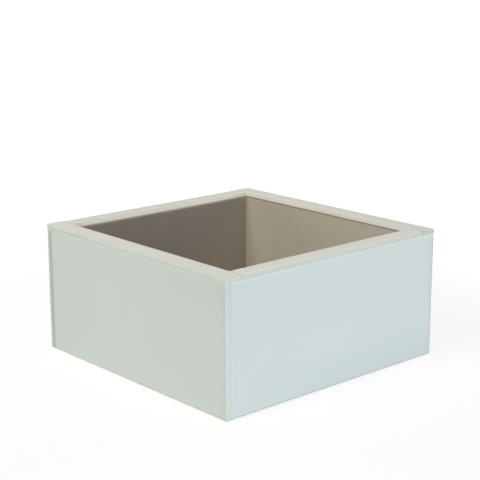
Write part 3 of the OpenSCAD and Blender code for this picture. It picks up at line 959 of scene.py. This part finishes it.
def plug_profile():
    """The plug's stem with its groove, and its cap with a raised edge round a shallow dish."""
    low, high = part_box("drain_plug")
    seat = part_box("drain_body")[1].z
    seal_low, seal_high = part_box("plug_seal")
    groove = (seal_low.z - SEAL_ROOM, seal_high.z + SEAL_ROOM)
    stem = BORE_RADIUS - STEM_PLAY
    groove_floor = seal_high.x - (seal_high.z - seal_low.z) - SEAL_ROOM
    cap_top = seat + CAP_HEIGHT
    return [
        (0, low.z),
        (stem, low.z),
        (stem, groove[0]),
        (groove_floor, groove[0]),
        (groove_floor, groove[1]),
        (stem, groove[1]),
        (stem, seat),
        (high.x, seat),
        (high.x, cap_top),
        (high.x - CAP_EDGE, cap_top),
        (high.x - CAP_EDGE - CAP_DISH, cap_top - CAP_DISH),
        (0, cap_top - CAP_DISH),
    ]


def grip_mesh(name):
    """The plug's grip: a waisted bar with round ends and a soft top."""
    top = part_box("drain_plug")[1]
    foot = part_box("drain_body")[1].z + CAP_HEIGHT / 2
    straight = GRIP_LENGTH / 2 - GRIP_WIDTH / 2
    outline = []
    for turn in (0, math.pi):
        for i in range(GRIP_STEPS + 1):
            a = turn - math.pi / 2 + i * math.pi / GRIP_STEPS
            shift = straight if turn == 0 else -straight
            outline.append((shift + GRIP_WIDTH / 2 * math.cos(a), GRIP_WIDTH / 2 * math.sin(a)))
        for i in range(1, GRIP_STEPS):
            x = straight * (1 - 2 * i / GRIP_STEPS)
            waist = GRIP_WIDTH / 2 - GRIP_WAIST * math.cos(x / straight * math.pi / 2) ** 2
            outline.append((x, waist) if turn == 0 else (-x, -waist))
    bm = bmesh.new()
    base = bm.faces.new([bm.verts.new((x, y, foot)) for x, y in outline])
    draw_out(bm, base, (0, 0, top.z - foot))
    brim = [e for e in bm.edges if all(abs(v.co.z - top.z) < SAME for v in e.verts)]
    bevel(bm, brim, GRIP_ROUND, GRIP_ROUND_STEPS)
    return mesh_from(bm, name)


def joined(first, second, name):
    """One closed mesh of two that run into each other."""
    base, other = (add_object(mesh.name, mesh) for mesh in (first, second))
    union = base.modifiers.new("union", "BOOLEAN")
    union.operation = "UNION"
    union.solver = "EXACT"
    union.object = other
    seen = base.evaluated_get(bpy.context.evaluated_depsgraph_get())
    mesh = bpy.data.meshes.new_from_object(seen)
    mesh.name = name
    for part in (base, other):
        bpy.data.objects.remove(part)
    return shade(mesh)


def add_walls():
    material = wall_lacquer(side_box("wall_front", 0)[0] / 2)
    for k, side in enumerate(SIDES):
        name = f"{side}_wall_board"
        size, middle = side_box(f"wall_{side}", k)
        matrix = side_turn(k) @ Matrix.Translation(middle)
        add_piece(name, wall_mesh(size, name, side), matrix, material, [f"wall_{side}"])


def add_rims():
    """The long boards run the full depth, and the butted ones lie between them."""
    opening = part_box("rim_back")[0].y
    long = rim_paint("rim_paint_long", RIM_SIDE_SHADE_LONG, RIM_INNER_LIT_LONG, RIM_INNER_LIT_PALE, opening)
    butted = rim_paint("rim_paint_butted", RIM_SIDE_SHADE, RIM_INNER_LIT, RIM_INNER_LIT, NO_JOINT)
    for k, side in enumerate(SIDES):
        name = f"{side}_rim_board"
        size, middle = side_box(f"rim_{side}", k)
        matrix = side_turn(k) @ Matrix.Translation(middle)
        material = butted if side in BUTTED else long
        add_piece(name, rim_mesh(size, name, side), matrix, material, [f"rim_{side}"])


def add_tub(material):
    middle = sum(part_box("tub"), Vector()) / 2
    mesh = tub_mesh("inner_tub")
    mesh.transform(Matrix.Translation(-middle))
    add_piece("inner_tub", mesh, Matrix.Translation(middle), material, ["tub"])


def add_drain(plastic, rubber):
    still = Matrix.Identity(4)
    body = turned_mesh(eased(drain_profile()), "drain_fitting")
    add_piece("drain_fitting", body, still, plastic, ["drain_body"])
    stem = turned_mesh(eased(plug_profile()), "plug_stem")
    plug = joined(stem, grip_mesh("plug_grip"), "plug")
    add_piece("plug", plug, still, plastic, ["drain_plug"], body="plug")
    low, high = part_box("plug_seal")
    cord = (high.z - low.z) / 2
    around = [
        (high.x - cord + cord * math.cos(a), (low.z + high.z) / 2 + cord * math.sin(a))
        for a in (i * math.tau / SEAL_STEPS for i in range(SEAL_STEPS))
    ]
    seal = turned_mesh(around, "sealing_ring")
    add_piece("sealing_ring", seal, still, rubber, ["plug_seal"], body="plug")


def add_glides(material):
    """Low round feet, each with the mouth and the hole of its screw."""
    for corner in CORNERS:
        name = f"{corner}_glide"
        node = f"foot_glide_{corner}"
        low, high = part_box(node)
        radius = (high.x - low.x) / 2
        tall = high.z - low.z
        profile = [
            (GLIDE_MOUTH, 0), (radius, 0), (radius, tall),
            (GLIDE_HOLE, tall), (GLIDE_HOLE, tall * 2 / 3), (GLIDE_MOUTH, tall / 6),
        ]
        at = Matrix.Translation(((low.x + high.x) / 2, (low.y + high.y) / 2, low.z))
        add_piece(name, turned_mesh(eased(profile), name), at, material, [node])


def finish_nodes(finishes):
    """Gives each CAD node that stays in sight its material, by the start of its name."""
    for name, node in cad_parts.items():
        for start, material in finishes:
            if name.startswith(start):
                node.data.materials.clear()
                node.data.materials.append(material)
                break


def direction(azimuth, elevation):
    """From the planter's middle: azimuth 0 is in front, 90 at the right, in degrees."""
    a, e = math.radians(azimuth), math.radians(elevation)
    return Vector((math.sin(a) * math.cos(e), -math.cos(a) * math.cos(e), math.sin(e)))


def add_softbox(name, azimuth, elevation, distance, wide, high, level, colour):
    """A flat lamp that turns to the planter. Level is what it adds to a white surface that faces it."""
    lamp = bpy.data.lights.new(name, "AREA")
    lamp.shape = "RECTANGLE"
    lamp.size = wide
    lamp.size_y = high
    lamp.energy = level * math.pi ** 2 * distance ** 2
    lamp.color = colour
    box = add_object(name, lamp)
    towards = direction(azimuth, elevation)
    box.location = LIT_POINT + towards * distance
    box.rotation_mode = "QUATERNION"
    box.rotation_quaternion = towards.to_track_quat("Z", "Y")


def add_floor():
    """A pale floor. It shows white, with the planter's shadow, and throws back less light than that."""
    f = new_finish("studio_floor")
    length = f.node("VectorMath", operation="LENGTH")
    f.feed(length.inputs[0], f.place())
    away = length.outputs["Value"]
    open_floor = f.levels(away, *SHADOW_REACH, to_low=1 - FLOOR_LIGHT * SHADOW_SHARE, to_high=1.0)
    glow = f.node("Emission")
    # The glow is cut under the planter as a painted shadow
    f.feed(glow.inputs["Strength"], f.times(open_floor, f.levels(away, *UNDER_PLANTER_SHADOW, to_low=UNDER_PLANTER_SHADOW_GLOW)))
    shown = f.node("AddShader")
    f.feed(shown.inputs[0], f.diffuse((SHADOW_SHARE, SHADOW_SHARE, SHADOW_SHARE)))
    f.feed(shown.inputs[1], glow.outputs[0])
    material = f.end("OutputMaterial", f.choose(f.seen_rays(), f.diffuse(FLOOR_TONE), shown.outputs[0]))
    bm = bmesh.new()
    bmesh.ops.create_circle(bm, cap_ends=True, radius=FLOOR_RADIUS, segments=FLOOR_SIDES)
    mesh = bpy.data.meshes.new("studio_floor")
    bm.to_mesh(mesh)
    bm.free()
    mesh.materials.append(material)
    floor = add_object("studio_floor", mesh)
    floor.location.z = cad_lo.z


def set_world():
    """Even soft light from all round, and plain white where the background itself shows."""
    world = bpy.data.worlds.new("studio")
    bpy.context.scene.world = world
    f = Nodes(world)
    light = f.background(AMBIENT_COLOUR, AMBIENT_LEVEL)
    f.end("OutputWorld", f.choose(f.seen_rays(), light, f.background(WHITE, 1.0)))


def add_camera():
    data = bpy.data.cameras.new("photo_camera")
    data.sensor_width = SENSOR
    data.lens = LENS
    camera = add_object("photo_camera", data)
    camera.location = EYE
    camera.rotation_mode = "QUATERNION"
    camera.rotation_quaternion = (AIM - EYE).to_track_quat("-Z", "Y") @ Quaternion((0, 0, 1), ROLL)
    bpy.context.scene.camera = camera


def main():
    add_camera()
    add_floor()
    set_world()
    for lamp in LAMPS:
        add_softbox(*lamp)
    bpy.context.scene.view_settings.view_transform = "Standard"

    plastic = black_plastic()
    rubber = black_rubber()
    steel = zinc_steel()
    add_walls()
    add_rims()
    add_tub(tub_plastic())
    add_drain(plastic, rubber)
    add_glides(plastic)

    across, deep, upright = (timber(f"timber_{axis}", axis, *PINE, PINE_RING_GAP) for axis in "XYZ")
    finish_nodes([
        ("corner_post", upright),
        ("top_rail_front", across), ("top_rail_back", across), ("top_rail", deep),
        ("bottom_rail_front", across), ("bottom_rail_back", across), ("bottom_rail", deep),
        ("base_bearer", deep), ("base_board", plywood()),
        ("wall_dowels", timber("dowel_wood", "X", *BEECH, BEECH_RING_GAP)),
        ("rim_dowels", timber("rim_dowel_wood", "X", *BEECH, BEECH_RING_GAP)),
        ("post_screws", steel), ("rail_screws", steel), ("rim_screws", steel),
        ("base_screws", steel), ("glide_screws", steel),
        ("drain_nut", plastic), ("drain_gasket", rubber),
    ])


main()
